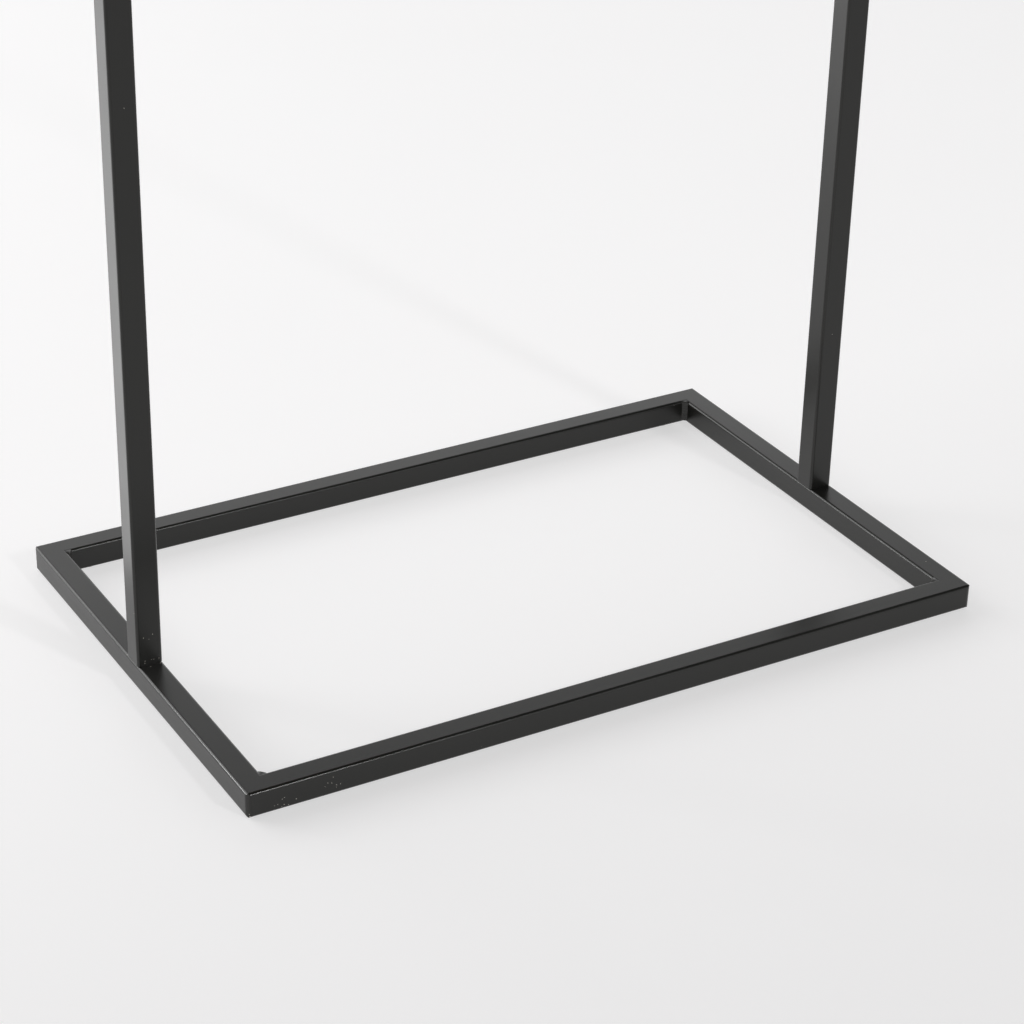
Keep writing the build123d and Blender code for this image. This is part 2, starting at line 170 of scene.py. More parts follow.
@dataclass(frozen=True)
class PowderCoat(Finish):
    """Polyester powder coat baked on steel tube.

    It gives near-black colour, a satin sheen that turns pale at a grazing look, a faint orange peel,
    slightly rubbed edges, and a little dust where it settles.

    Attributes:
        colour: the coat.
        rubbed: the coat on a rubbed edge.
        dust: a grain of dust.
        roughness: roughness of the flat sides.
        patchiness: how much the roughness changes from patch to patch.
        edge_polish: how much smoother a rounded edge is.
        edge_turn: where an edge starts and is full, as 1 less the cosine of its turn from a flat side.
        peel_mm: pitch of the orange peel.
        cloud_mm: size of a patch of sheen or wear.
        speck_cell_mm: distance between the places where a grain may lie.
        speck_mm: radius of the largest grain.
        smallest_speck: radius of the smallest grain, as a share of the largest.
        stray: share of the places with a grain anywhere.
        gathered: share of the places with a grain where dust gathers.
        gathers: where dust gathers, and how far from there.
        coat_ior: index of refraction of the coat.
    """

    colour: str = "#131310"
    rubbed: str = "#2F2F2C"
    dust: str = "#B5B1A9"
    roughness: float = 0.31
    patchiness: float = 0.05
    edge_polish: float = 0.17
    edge_turn: tuple[float, float] = (0.08, 0.29)
    peel_mm: float = 1.7
    cloud_mm: float = 60.0
    speck_cell_mm: float = 1.8
    speck_mm: float = 0.52
    smallest_speck: float = 0.3
    stray: float = 0.0004
    gathered: float = 0.9
    gathers: tuple[tuple[Point, float], ...] = (
        ((-0.285, -0.199, 0.0035), 0.010),
        ((-0.246, -0.199, 0.009), 0.008),
        ((-0.309, -0.198, 0.004), 0.006),
        ((-0.294, -0.010, 0.0215), 0.0065),
        ((-0.303, -0.010, 0.0215), 0.0065),
        ((-0.301, -0.010, 0.044), 0.006),
    )
    coat_ior: float = 1.455

    def dress(self, tree: bpy.types.NodeTree) -> dict[str, Any]:
        """Wire peel, rubbed edges and dust."""
        place = put(tree, COORDINATES)
        at = place.outputs["Object"]
        edge = self.edges(tree, place.outputs["Normal"])
        clouds = put(tree, NOISE, {"Vector": at, "Scale": per_mm(self.cloud_mm), "Detail": 4.0})
        worn = put(tree, MATH, (edge, clouds.outputs["Fac"]), operation="MULTIPLY")
        base = put(tree, MIX, {0: worn, 6: linear(self.colour), 7: linear(self.rubbed)}, data_type="RGBA")
        specks = self.specks(tree, at)
        dusty = put(tree, MIX, {0: specks, 6: base.outputs[2], 7: linear(self.dust)}, data_type="RGBA")
        low, high = self.roughness - self.patchiness, self.roughness + self.patchiness
        rough = put(tree, RANGE, {"Value": clouds.outputs["Fac"], "To Min": low, "To Max": high})
        # Hands and cloths polish the rounded edges.
        polish = put(tree, MATH, (edge, -self.edge_polish, rough), operation="MULTIPLY_ADD")
        grain = put(tree, MATH, (specks, 0.9), operation="MULTIPLY")
        matt = put(tree, MATH, (polish, grain), operation="MAXIMUM")
        peel = put(tree, NOISE, {"Vector": at, "Scale": per_mm(self.peel_mm), "Detail": 2.0})
        height = put(tree, MATH, (specks, 3.0, peel.outputs["Fac"]), operation="MULTIPLY_ADD")
        bump = put(tree, BUMP, {"Height": height, "Strength": 0.16, "Distance": 0.05 * MM})
        return {"IOR": self.coat_ior, "Base Color": dusty.outputs[2], "Roughness": matt, "Normal": bump}

    def edges(self, tree: bpy.types.NodeTree, normal: bpy.types.NodeSocket) -> bpy.types.Node:
        """Mask of the rounded edges between flat sides.

        Args:
            tree: the material's tree.
            normal: the surface's normal in object coordinates.

        Returns:
            A node whose output is 0 on a flat side and 1 on an edge.
        """
        # On a flat side one part of the normal is 1; on a rounded edge none is.
        facing = put(tree, VECTOR, (normal,), operation="ABSOLUTE")
        parts = put(tree, "ShaderNodeSeparateXYZ", (facing,)).outputs
        widest = put(tree, MATH, (parts[0], parts[1]), operation="MAXIMUM")
        widest = put(tree, MATH, (widest, parts[2]), operation="MAXIMUM")
        turn = put(tree, MATH, (1.0, widest), operation="SUBTRACT")
        start, full = self.edge_turn
        return put(tree, RANGE, {"Value": turn, "From Min": start, "From Max": full})

    def specks(self, tree: bpy.types.NodeTree, at: bpy.types.NodeSocket) -> bpy.types.Node:
        """Mask of dust grains: stray ones everywhere, more where dust gathers.

        Args:
            tree: the material's tree.
            at: object coordinates.

        Returns:
            A node whose output is 1 on a grain.
        """
        cells = put(tree, "ShaderNodeTexVoronoi", {"Vector": at, "Scale": per_mm(self.speck_cell_mm)})
        lot = put(tree, "ShaderNodeSeparateColor", (cells.outputs["Color"],)).outputs
        spread = (lot[1], 1 - self.smallest_speck, self.smallest_speck)
        size = put(tree, MATH, spread, operation="MULTIPLY_ADD")
        size = put(tree, MATH, (size, self.speck_mm / self.speck_cell_mm), operation="MULTIPLY")
        dot = put(tree, MATH, (cells.outputs["Distance"], size), operation="LESS_THAN")
        share: bpy.types.Node | float = self.stray
        for centre, radius in self.gathers:
            away = put(tree, VECTOR, (at, centre), operation="DISTANCE").outputs["Value"]
            reach = {"Value": away, "From Min": 0.4 * radius, "From Max": radius}
            near = put(tree, RANGE, reach | {"To Min": self.gathered, "To Max": 0.0})
            share = put(tree, MATH, (near, share), operation="ADD")
        drawn = put(tree, MATH, (lot[0], share), operation="LESS_THAN")
        return put(tree, MATH, (dot, drawn), operation="MULTIPLY")


@dataclass(frozen=True)
class OiledOak(Finish):
    """European oak, planed, sanded and oiled, with the grain along X.

    It gives soft bands of early and late wood that arch where the cut crosses them, short dark
    pores that run with the grain, and a low sheen.

    Attributes:
        pale: early wood.
        deep: late wood.
        pore: the bottom of a pore.
        ring_mm: width of a growth ring.
        pith_mm: where the middle of the tree lies from this piece, across and up.
        lean: how far the tree's axis leans from the piece, in radians about Y and Z.
        pore_mm: width of a pore.
        pore_length_mm: length of a pore.
    """

    pale: str = "#CBA176"
    deep: str = "#A1754A"
    pore: str = "#573B22"
    ring_mm: float = 3.6
    pith_mm: tuple[float, float] = (24.0, 70.0)
    lean: tuple[float, float] = (0.035, 0.02)
    pore_mm: float = 0.34
    pore_length_mm: float = 9.0

    def dress(self, tree: bpy.types.NodeTree) -> dict[str, Any]:
        """Wire rings, fibres and pores."""
        at = put(tree, COORDINATES).outputs["Object"]
        bands = self.rings(tree, at).outputs["Fac"]
        fibre = self.along_grain(tree, at, 24.0, 0.7, 3.0).outputs["Fac"]
        cells = self.along_grain(tree, at, self.pore_length_mm, self.pore_mm, 1.0).outputs["Fac"]
        # Pores crowd the pale early wood at the start of each ring.
        crowd = put(tree, MATH, (bands, 0.12, 0.6), operation="MULTIPLY_ADD")
        past = put(tree, MATH, (cells, crowd), operation="SUBTRACT")
        pore = put(tree, RANGE, {"Value": past, "From Max": 0.07})
        patch = self.along_grain(tree, at, 180.0, 22.0, 2.0).outputs["Fac"]
        tone = put(tree, MATH, (bands, 0.3), operation="MULTIPLY")
        for layer in (fibre, patch):
            tone = put(tree, MATH, (layer, 0.4, tone), operation="MULTIPLY_ADD")
        shades = ((0.25, linear(self.pale)), (0.8, linear(self.deep)))
        wood = put(tree, "ShaderNodeValToRGB", {"Fac": tone}, shades)
        filled = put(tree, MATH, (pore, 0.75), operation="MULTIPLY")
        stained = put(tree, MIX, {0: filled, 6: wood, 7: linear(self.pore)}, data_type="RGBA")
        rough = put(tree, RANGE, {"Value": tone, "To Min": 0.42, "To Max": 0.6})
        raised = put(tree, MATH, (fibre, 0.3), operation="MULTIPLY")
        height = put(tree, MATH, (raised, pore), operation="SUBTRACT")
        bump = put(tree, BUMP, {"Height": height, "Strength": 0.35, "Distance": 0.12 * MM})
        return {"Base Color": stained.outputs[2], "Roughness": rough, "Normal": bump}

    def rings(self, tree: bpy.types.NodeTree, at: bpy.types.NodeSocket) -> bpy.types.Node:
        """Growth rings about the pith, a little wavy along the tree.

        Args:
            tree: the material's tree.
            at: object coordinates.

        Returns:
            The ring texture.
        """
        # The wave texture repeats every 0.314 of its own units.
        ring = per_mm(self.ring_mm) * 0.314
        pith = (0.0, *(value * MM * ring for value in self.pith_mm))
        spread = {"Vector": at, "Location": pith, "Rotation": (0.0, *self.lean), "Scale": (ring,) * 3}
        trunk = put(tree, MAPPING, spread)
        sway = self.along_grain(tree, at, 260.0, 38.0, 3.0).outputs["Color"]
        bent = put(tree, VECTOR, (sway, (0.0, 0.9, 0.9), trunk), operation="MULTIPLY_ADD")
        return put(
            tree, "ShaderNodeTexWave", {"Vector": bent, "Scale": 1.0, "Distortion": 0.25},
            wave_type="RINGS", rings_direction="X", wave_profile="SAW",
        )

    def along_grain(
        self,
        tree: bpy.types.NodeTree,
        at: bpy.types.NodeSocket,
        length_mm: float,
        width_mm: float,
        detail: float,
    ) -> bpy.types.Node:
        """Noise that is drawn out along the grain.

        Args:
            tree: the material's tree.
            at: object coordinates.
            length_mm: size of its spots along the grain.
            width_mm: size of its spots across the grain.
            detail: layers of finer noise.

        Returns:
            The noise node.
        """
        across = per_mm(width_mm)
        stretched = put(tree, MAPPING, {"Vector": at, "Scale": (per_mm(length_mm), across, across)})
        return put(tree, NOISE, {"Vector": stretched, "Scale": 1.0, "Detail": detail})


@dataclass(frozen=True)
class SaddleLeather(Finish):
    """Vegetable-tanned leather, dyed through and waxed.

    It gives fine pebbled cells, darker creases and a soft broken sheen.

    Attributes:
        colour: the dyed grain side.
        crease: the creases between cells.
        cell_mm: size of a cell.
    """

    colour: str = "#3A2A20"
    crease: str = "#1D140F"
    cell_mm: float = 1.3

    def dress(self, tree: bpy.types.NodeTree) -> dict[str, Any]:
        """Wire cells and creases."""
        at = put(tree, COORDINATES).outputs["Object"]
        warp = put(tree, NOISE, {"Vector": at, "Scale": per_mm(5.0), "Detail": 2.0}).outputs["Color"]
        bent = put(tree, VECTOR, (warp, (1.2 * MM,) * 3, at), operation="MULTIPLY_ADD")
        pattern = {"Vector": bent, "Scale": per_mm(self.cell_mm)}
        cells = put(tree, "ShaderNodeTexVoronoi", pattern, feature="DISTANCE_TO_EDGE")
        pebble = put(tree, RANGE, {"Value": cells.outputs["Distance"], "From Max": 0.22})
        tone = put(tree, NOISE, {"Vector": at, "Scale": per_mm(38.0), "Detail": 4.0}).outputs["Fac"]
        shade = put(tree, MATH, (tone, 0.7, 0.55), operation="MULTIPLY_ADD")
        mixed = put(tree, MATH, (pebble, shade), operation="MULTIPLY")
        base = put(tree, MIX, {0: mixed, 6: linear(self.crease), 7: linear(self.colour)}, data_type="RGBA")
        rough = put(tree, RANGE, {"Value": tone, "To Min": 0.38, "To Max": 0.6})
        bump = put(tree, BUMP, {"Height": pebble, "Strength": 0.5, "Distance": 0.16 * MM})
        return {"Base Color": base.outputs[2], "Roughness": rough, "Normal": bump}


class Metal(Enum):
    """Bare and plated metals, each with its colour, roughness and colour of age."""

    ZINC = ("#B9BCC0", 0.34, "#8D9095")
    STAINLESS = ("#BDBAB4", 0.26, "#9C9993")
    BRASS = ("#C9A45A", 0.30, "#8C6A2F")
    BLACK_OXIDE = ("#2A2A2C", 0.40, "#3D3B39")


@dataclass(frozen=True)
class TurnedMetal(Finish):
    """Metal with fine turning or rolling marks.

    It gives a bright mirror-like body, broken by hair lines across the axis and by faint stains.

    Attributes:
        metal: which metal.
        line_mm: pitch of the hair lines.
    """

    metal: Metal = Metal.ZINC
    line_mm: float = 0.35

    def dress(self, tree: bpy.types.NodeTree) -> dict[str, Any]:
        """Wire hair lines and stains."""
        colour, roughness, aged = self.metal.value
        at = put(tree, COORDINATES).outputs["Object"]
        stretch = (per_mm(9.0), per_mm(9.0), per_mm(self.line_mm))
        stretched = put(tree, MAPPING, {"Vector": at, "Scale": stretch})
        lines = put(tree, NOISE, {"Vector": stretched, "Scale": 1.0, "Detail": 2.0}).outputs["Fac"]
        stains = put(tree, NOISE, {"Vector": at, "Scale": per_mm(6.0), "Detail": 4.0}).outputs["Fac"]
        base = put(tree, MIX, {0: stains, 6: linear(colour), 7: linear(aged)}, data_type="RGBA")
        rough = put(tree, RANGE, {"Value": lines, "To Min": roughness - 0.08, "To Max": roughness + 0.1})
        bump = put(tree, BUMP, {"Height": lines, "Strength": 0.2, "Distance": 0.02 * MM})
        return {"Metallic": 1.0, "Base Color": base.outputs[2], "Roughness": rough, "Normal": bump}


@dataclass(frozen=True)
class Moulded(Finish):
    """Injection-moulded plastic or pressed rubber.

    It gives an even colour with a fine spark-eroded grain and a dull, slightly uneven sheen.

    Attributes:
        colour: the moulding.
        worn: where it is handled.
        roughness: its roughness.
        grain_mm: pitch of the mould's grain.
    """

    colour: str = "#202021"
    worn: str = "#2C2C2D"
    roughness: float = 0.55
    grain_mm: float = 0.6

    def dress(self, tree: bpy.types.NodeTree) -> dict[str, Any]:
        """Wire the mould grain."""
        at = put(tree, COORDINATES).outputs["Object"]
        grain = put(tree, NOISE, {"Vector": at, "Scale": per_mm(self.grain_mm), "Detail": 2.0}).outputs["Fac"]
        cloud = put(tree, NOISE, {"Vector": at, "Scale": per_mm(12.0), "Detail": 3.0}).outputs["Fac"]
        base = put(tree, MIX, {0: cloud, 6: linear(self.colour), 7: linear(self.worn)}, data_type="RGBA")
        low, high = self.roughness - 0.06, self.roughness + 0.06
        rough = put(tree, RANGE, {"Value": cloud, "To Min": low, "To Max": high})
        bump = put(tree, BUMP, {"Height": grain, "Strength": 0.3, "Distance": 0.04 * MM})
        return {"Base Color": base.outputs[2], "Roughness": rough, "Normal": bump}


@dataclass(frozen=True)
class WaxedThread(Finish):
    """Twisted linen thread drawn through wax.

    It gives a pale thread with a diagonal twist and a slight shine.

    Attributes:
        colour: the thread.
        shade: the groove between strands.
        twist_mm: length of one twist.
    """

    colour: str = "#C8B88F"
    shade: str = "#8F7F5A"
    twist_mm: float = 0.7

    def dress(self, tree: bpy.types.NodeTree) -> dict[str, Any]:
        """Wire the twist."""
        at = put(tree, COORDINATES).outputs["Object"]
        # The wave texture has 20 bands in one of its own units.
        wave = {"Vector": at, "Scale": per_mm(self.twist_mm) / 20, "Distortion": 0.6}
        twist = put(tree, "ShaderNodeTexWave", wave, bands_direction="DIAGONAL").outputs["Fac"]
        base = put(tree, MIX, {0: twist, 6: linear(self.shade), 7: linear(self.colour)}, data_type="RGBA")
        bump = put(tree, BUMP, {"Height": twist, "Strength": 0.4, "Distance": 0.05 * MM})
        return {"Roughness": 0.6, "Base Color": base.outputs[2], "Normal": bump}


@dataclass(frozen=True)
class PaleFloor(Finish):
    """Matt white studio floor.

    It gives a nearly even pale ground with very faint clouds, and a painted glow, a little weaker to the
    front, that lifts its shade.

    Attributes:
        light: the floor.
        dull: its faint clouds.
        lift_from: how far to the front the painted glow is least, and how far back it is full.
        lift: the least and the full painted glow, as emission strength.
    """

    light: str = "#BAB9BA"
    dull: str = "#B7B5B6"
    # Painted glow: the floor's emission strength, which lifts its shade.
    lift_from: tuple[float, float] = (-1.1, 0.2)
    lift: tuple[float, float] = (0.41, 0.575)

    def dress(self, tree: bpy.types.NodeTree) -> dict[str, Any]:
        """Wire the clouds and the painted glow."""
        at = put(tree, COORDINATES).outputs["Object"]
        cloud = put(tree, NOISE, {"Vector": at, "Scale": 2.6, "Detail": 3.0}).outputs["Fac"]
        base = put(tree, MIX, {0: cloud, 6: linear(self.light), 7: linear(self.dull)}, data_type="RGBA")
        # The floor's emission is a painted glow that stands in for light going round between the white walls
        # and the floor, a little less to the front.
        depth = put(tree, "ShaderNodeSeparateXYZ", (at,)).outputs[1]
        front, back = self.lift_from
        least, full = self.lift
        reach = {"Value": depth, "From Min": front, "From Max": back, "To Min": least, "To Max": full}
        return {
            "Roughness": 0.62,
            "Specular IOR Level": 0.3,
            "Emission Color": grey(1.0),
            "Emission Strength": put(tree, RANGE, reach),
            "Base Color": base.outputs[2],
        }


# Satin black with dulled highlights, as on flat-packed steel furniture.
POWDER = PowderCoat("powder coat, satin black, baked on steel tube")
# Warm, matt and lively in grain; each piece is cut from another place in the tree.
OAK_BAR = OiledOak("oak, turned and oiled", pith_mm=(-18.0, -710.0), lean=(0.03, 0.01))
OAK_YOKE = OiledOak("oak, shaped and oiled", pith_mm=(40.0, -960.0))
OAK_TRAY = OiledOak("oak, milled and oiled", pith_mm=(14.0, -1035.0), lean=(-0.03, 0.02))
# Dark and pebbled, with a soft sheen.
LEATHER = SaddleLeather("saddle leather, dyed and waxed")
# Cool grey and slightly cloudy.
ZINC = TurnedMetal("steel, zinc plated", metal=Metal.ZINC)
# Bright, with fine rings round the axis.
STAINLESS = TurnedMetal("stainless steel, turned", metal=Metal.STAINLESS)
# Yellow, browned in patches.
BRASS = TurnedMetal("brass, turned", metal=Metal.BRASS)
# Near black and oily.
BLACKED = TurnedMetal("steel, black oxide and oil", metal=Metal.BLACK_OXIDE)
# Dull and even.
CAP_PLASTIC = Moulded("polyethylene, moulded cap")
# A little glossier than the cap.
NYLON = Moulded("nylon, moulded bush", colour="#1A1A1A", worn="#262626", roughness=0.42)
# Quite matt.
PAD_RUBBER = Moulded("rubber, pressed pad", colour="#161616", worn="#232323", roughness=0.8)
# Pale against the leather.
THREAD = WaxedThread("linen thread, twisted and waxed")


def dress_node(name: str, finish: Finish) -> None:
    """Give a carried-over node its finish and report it.

    Args:
        name: the node.
        finish: its finish.
    """
    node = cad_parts[name]
    material = finish.build()
    if not node.data.materials:
        node.data.materials.append(material)
    for place in node.material_slots:
        place.material = material
    LOG.info("%s keeps its shape, in %s", name, finish.name)


# ---------------------------------------------------------------------------------------------
# Mesh helpers
# ---------------------------------------------------------------------------------------------


def piece_from(build: bmesh.types.BMesh, name: str, finish: Finish, smooth: bool = True) -> bpy.types.Object:
    """Turn a finished bmesh into a piece at the origin.

    Args:
        build: the shape, in metres in the shared frame. It is freed.
        name: the piece's name.
        finish: its finish.
        smooth: whether its faces are shaded smooth.

    Returns:
        The new object.
    """
    bmesh.ops.recalc_face_normals(build, faces=build.faces)
    mesh = bpy.data.meshes.new(name)
    build.to_mesh(mesh)
    build.free()
    if smooth:
        mesh.shade_smooth()
    mesh.materials.append(finish.build())
    piece = bpy.data.objects.new(name, mesh)
    bpy.context.scene.collection.objects.link(piece)
    return piece


def place_piece(piece: bpy.types.Object, body: str, slot: str, *nodes: str) -> None:
    """Set a piece on its body in place of the nodes that it replaces, and report it.

    Args:
        piece: the finished piece.
        body: the body it moves with.
        slot: not used.
        nodes: the nodes that it replaces.
    """
    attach(piece, body)
    if nodes:
        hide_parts(*nodes)
    LOG.info("%s: %d faces on %s", piece.name, len(piece.data.polygons), body)


def loft(build: bmesh.types.BMesh, loops: Sequence[Sequence[Point]]) -> None:
    """Skin closed loops of the same length into a tube, and close its ends with fans.

    Args:
        build: the bmesh to add to.
        loops: the loops, each a list of points.
    """
    rings = [[build.verts.new(p) for p in loop] for loop in loops]
    count = len(rings[0])
    for near, far in zip(rings, rings[1:]):
        for i in range(count):
            j = (i + 1) % count
            build.faces.new((near[i], near[j], far[j], far[i]))
    for ring in (rings[0], rings[-1]):
        middle = build.verts.new(sum((v.co for v in ring), Vector()) / count)
        for i in range(count):
            build.faces.new((ring[i], ring[(i + 1) % count], middle))


def rounded_rectangle(length: float, depth: float, corner: float, steps: int) -> list[tuple[float, float]]:
    """Corner points of a rounded rectangle about the origin, anticlockwise.

    Args:
        length: size along X.
        depth: size along Y.
        corner: corner radius.
        steps: segments in each corner.

    Returns:
        The outline.
    """
    points = []
    for quarter in range(4):
        x = (length / 2 - corner) * (1 if quarter in (0, 3) else -1)
        y = (depth / 2 - corner) * (1 if quarter in (0, 1) else -1)
        for step in range(steps + 1):
            angle = math.pi / 2 * (quarter + step / steps)
            points.append((x + corner * math.cos(angle), y + corner * math.sin(angle)))
    return points


def start_tree(name: str, *numbers: str) -> tuple[bpy.types.NodeTree, Mapping[str, bpy.types.NodeSocket]]:
    """Start a geometry tree whose inputs are a geometry, named numbers and a finish.

    Args:
        name: the tree's name.
        numbers: the names of its numbers.

    Returns:
        The tree, and its inputs by their names.
    """
    tree = bpy.data.node_groups.new(name, "GeometryNodeTree")
    tree.interface.new_socket("Geometry", in_out="OUTPUT", socket_type="NodeSocketGeometry")
    tree.interface.new_socket("Geometry", in_out="INPUT", socket_type="NodeSocketGeometry")
    for label in numbers:
        tree.interface.new_socket(label, in_out="INPUT", socket_type="NodeSocketFloat")
    tree.interface.new_socket("Finish", in_out="INPUT", socket_type="NodeSocketMaterial")
    return tree, put(tree, "NodeGroupInput").outputs


def end_tree(
    tree: bpy.types.NodeTree, given: Mapping[str, bpy.types.NodeSocket], made: bpy.types.Node
) -> None:
    """End a geometry tree: its geometry becomes real and gets its finish.

    Args:
        tree: the geometry tree.
        given: its inputs.
        made: the node that gives its geometry.
    """
    solid = put(tree, "GeometryNodeRealizeInstances", (made,))
    dressed = put(tree, "GeometryNodeSetMaterial", {"Geometry": solid, "Material": given["Finish"]})
    put(tree, "NodeGroupOutput", (dressed,))


def run_tree(
    piece: bpy.types.Object, tree: bpy.types.NodeTree, finish: Finish, values: Mapping[str, float]
) -> None:
    """Run a geometry tree on a piece once and keep its result as the piece's plain mesh.

    Args:
        piece: the object whose mesh goes in.
        tree: the geometry tree.
        finish: the finish of what comes out.
        values: the tree's numbers, by their names.
    """
    modifier = piece.modifiers.new("rule", "NODES")
    modifier.node_group = tree
    wanted = {**values, "Finish": finish.build()}
    for item in tree.interface.items_tree:
        if item.in_out == "INPUT" and item.name in wanted:
            modifier[item.identifier] = wanted[item.name]
    bpy.context.view_layer.update()
    ready = piece.evaluated_get(bpy.context.evaluated_depsgraph_get())
    mesh = bpy.data.meshes.new_from_object(ready)
    mesh.name = piece.name
    piece.modifiers.clear()
    piece.data = mesh


# ---------------------------------------------------------------------------------------------
# Sub-assemblies
# ---------------------------------------------------------------------------------------------


@dataclass
class FloorFrame:
    """Four mitred rails on thin pads, with a weld bead in each inner corner.

    Attributes:
        bead_leg: size of a bead across each rail.
        drop_end: height of its drawn-in lower end, as a share of the leg.
        thinnest: square of its smallest size at the lower end, as a share of the leg.
        swell: how far it swells below its upper end, as a share of the leg.
        swell_below: how far below the upper end it swells most, in legs.
        swell_spread: how widely it swells.
        rim: radius of its upper rim.
        flush_gap: how far it stays below the flat tops of the rails.
        overlap: how far it reaches into the corner behind the rails' faces.
        flatness: power that flattens its face from a quarter round towards a straight slope.
        crease: edges that turn more than this many degrees stay sharp.
        ripple_pitch: distance between the ripples that the welder's hand leaves.
        ripple_depth: height of a ripple.
        lump: height of the uneven lumps.
        lump_mm: size of a lump.
        flat_end: where the ripples start below the upper end, and where they are full.
        seed: seed of the lumps.
        arc_steps: steps across its face.
        height_steps: steps along it.
        rails: the rails, the front one first.
    """

    bead_leg: float = 4.1 * MM
    drop_end: float = 0.42
    thinnest: float = 0.05
    swell: float = 0.10
    swell_below: float = 0.35
    swell_spread: float = 0.06
    rim: float = 0.7 * MM
    flush_gap: float = 0.1 * MM
    overlap: float = 2.2 * MM
    flatness: float = 1.9
    crease: float = 38.0
    ripple_pitch: float = 2.4 * MM
    ripple_depth: float = 0.22 * MM
    lump: float = 0.5 * MM
    lump_mm: float = 3.4
    flat_end: tuple[float, float] = (0.2 * MM, 1.6 * MM)
    seed: float = 4.0
    arc_steps: int = 14
    height_steps: int = 44
    rails: tuple[str, ...] = ("base_front_rail", "base_rear_rail", "base_left_rail", "base_right_rail")

    def make(self) -> None:
        """Dress the rails and pads, and lay the beads."""
        for rail in self.rails:
            dress_node(rail, POWDER)
        dress_node("floor_pads", PAD_RUBBER)
        place_piece(self.beads(), "frame", "powder_black", "base_corner_welds")

    def bead_blank(self, height: float) -> bpy.types.Object:
        """One plain bead that stands on the origin, in the corner of the first quadrant.

        Args:
            height: the bead's height.

        Returns:
            The blank, which the tree copies to the corners.
        """
        build = bmesh.new()
        loops = []
        for level in range(self.height_steps + 1):
            rise = level / self.height_steps
            # The lower end draws in like a drop that has set; the upper one swells before it stops.
            end = min(1.0, rise * height / (self.drop_end * self.bead_leg))
            drop = math.sqrt(max(self.thinnest, 1 - (1 - end) ** 2))
            from_swell = (1 - rise) * height / self.bead_leg - self.swell_below
            reach = self.bead_leg * (drop + self.swell * math.exp(-(from_swell**2) / self.swell_spread))
            # Its rim is rounded, as paint leaves it.
            left = min(1.0, (1 - rise) * height / self.rim)
            reach -= self.rim * (1 - math.sqrt(1 - (1 - left) ** 2))
            back, z = -self.overlap, rise * height
            loop = [(back, reach, z), (back, back, z), (reach, back, z)]
            for step in range(self.arc_steps + 1):
                # The last angle stays just under a right angle, where the cosine could turn negative.
                angle = min(math.pi / 2 * step / self.arc_steps, math.pi / 2 - 1e-9)
                across, along = (value**self.flatness for value in (math.cos(angle), math.sin(angle)))
                loop.append((reach * across, reach * along, z))
            loops.append(loop)
        loft(build, loops)
        return piece_from(build, "weld_beads", POWDER)

    def beads(self) -> bpy.types.Object:
        """The four beads, each uneven in its own way."""
        low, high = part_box("base_corner_welds")
        # The bead's upper end is flush with the flat tops of the rails.
        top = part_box(self.rails[0])[1].z - self.flush_gap
        numbers = {
            "Half length": high.x,
            "Half depth": high.y,
            "Bottom": low.z,
            "Top": top,
            "Pitch": self.ripple_pitch,
            "Ripple": self.ripple_depth,
            "Lump": self.lump,
            "Seed": self.seed,
        }
        tree, given = start_tree("beads in corners", *numbers)
        # Two columns and two rows of points stand for the corners.
        length = put(tree, MATH, (given["Half length"], 2.0), operation="MULTIPLY")
        depth = put(tree, MATH, (given["Half depth"], 2.0), operation="MULTIPLY")
        sizes = {"Size X": length, "Size Y": depth, "Vertices X": 2, "Vertices Y": 2}
        grid = put(tree, "GeometryNodeMeshGrid", sizes)
        lift = put(tree, XYZ, {2: given["Bottom"]})
        raised = put(tree, "GeometryNodeSetPosition", {"Geometry": grid, "Offset": lift})
        # Each blank turns so that it opens towards the middle of the frame: no quarter turn at the front
        # left, one at the front right, two at the rear right and three at the rear left.
        spot = put(tree, "ShaderNodeSeparateXYZ", (put(tree, "GeometryNodeInputPosition"),)).outputs
        right = put(tree, MATH, (spot[0], 0.0), operation="GREATER_THAN")
        rear = put(tree, MATH, (spot[1], 0.0), operation="GREATER_THAN")
        across = put(tree, MATH, (right, rear), operation="SUBTRACT")
        odd = put(tree, MATH, (across, across), operation="MULTIPLY")
        quarters = put(tree, MATH, (rear, 2.0, odd), operation="MULTIPLY_ADD")
        spin = put(tree, MATH, (quarters, math.pi / 2), operation="MULTIPLY")
        turn = put(tree, XYZ, {2: spin})
        spread = {"Points": raised, "Instance": given["Geometry"], "Rotation": turn}
        copies = put(tree, "GeometryNodeInstanceOnPoints", spread)
        solid = put(tree, "GeometryNodeRealizeInstances", (copies,))
        end_tree(tree, given, self.unevenness(tree, given, solid))
        beads = self.bead_blank(top - low.z)
        run_tree(beads, tree, POWDER, numbers)
        beads.data.set_sharp_from_angle(angle=math.radians(self.crease))
        return beads

    def unevenness(
        self, tree: bpy.types.NodeTree, given: Mapping[str, bpy.types.NodeSocket], solid: bpy.types.Node
    ) -> bpy.types.Node:
        """Ripples along each bead and lumps all over it, pressed inwards from the blank.

        Args:
            tree: the beads' tree.
            given: its inputs.
            solid: the plain beads.

        Returns:
            The uneven beads.
        """
        at = put(tree, "GeometryNodeInputPosition")
        up = put(tree, "ShaderNodeSeparateXYZ", (at,)).outputs[2]
        phase = put(tree, MATH, (up, given["Pitch"]), operation="DIVIDE")
        phase = put(tree, MATH, (phase, 2 * math.pi), operation="MULTIPLY")
        wave = put(tree, MATH, (phase,), operation="SINE")
        wave = put(tree, MATH, (wave, 0.5, -0.5), operation="MULTIPLY_ADD")
        ripple = put(tree, MATH, (wave, given["Ripple"]), operation="MULTIPLY")
        spots = {"Vector": at, "W": given["Seed"], "Scale": per_mm(self.lump_mm), "Detail": 1.0}
        lumps = put(tree, NOISE, spots, noise_dimensions="4D")
        sag = put(tree, MATH, (lumps, given["Lump"]), operation="MULTIPLY")
        pressed = put(tree, MATH, (ripple, sag), operation="SUBTRACT")
